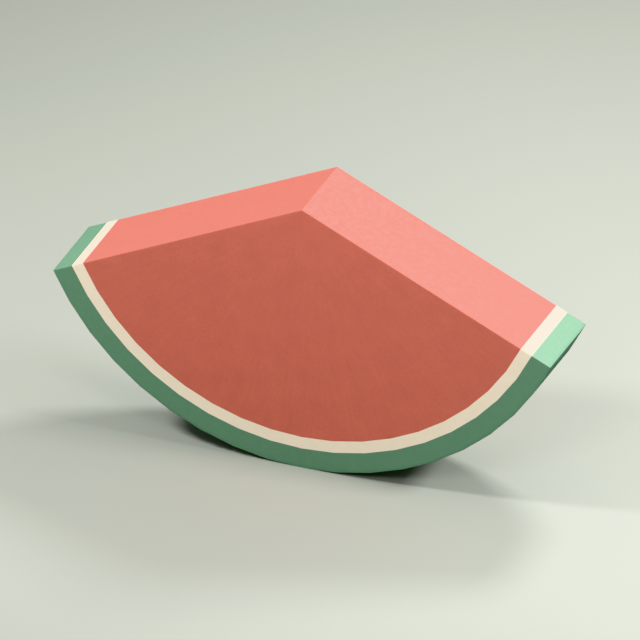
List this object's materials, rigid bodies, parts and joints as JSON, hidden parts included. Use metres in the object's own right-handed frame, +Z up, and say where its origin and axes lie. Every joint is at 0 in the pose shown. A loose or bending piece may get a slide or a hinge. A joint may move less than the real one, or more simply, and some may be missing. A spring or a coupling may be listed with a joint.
{
  "type": "watermelon wedge",
  "caption": "Pie-shaped watermelon wedge standing on its faceted rind, with flat cut sides, seedless red flesh, a pale inner band and a green rind.",
  "frame": {"origin": "on the ground under the middle of the rind, at the centre of the small flat spot that the wedge rests on", "axes": "+Z up towards the wedge's point, +X along its width, +Y through its thickness, away from the viewer"},
  "size_m": [0.2266, 0.0406, 0.1247],
  "materials": {
    "flesh": "moist matte cut fruit flesh, fine-grained",
    "pale_rind": "smooth cream-white inner rind",
    "green_rind": "satin green rind with a waxy skin"
  },
  "bodies": {
    "root": {"watermelon_wedge": "flesh"}
  },
  "joints": []
}
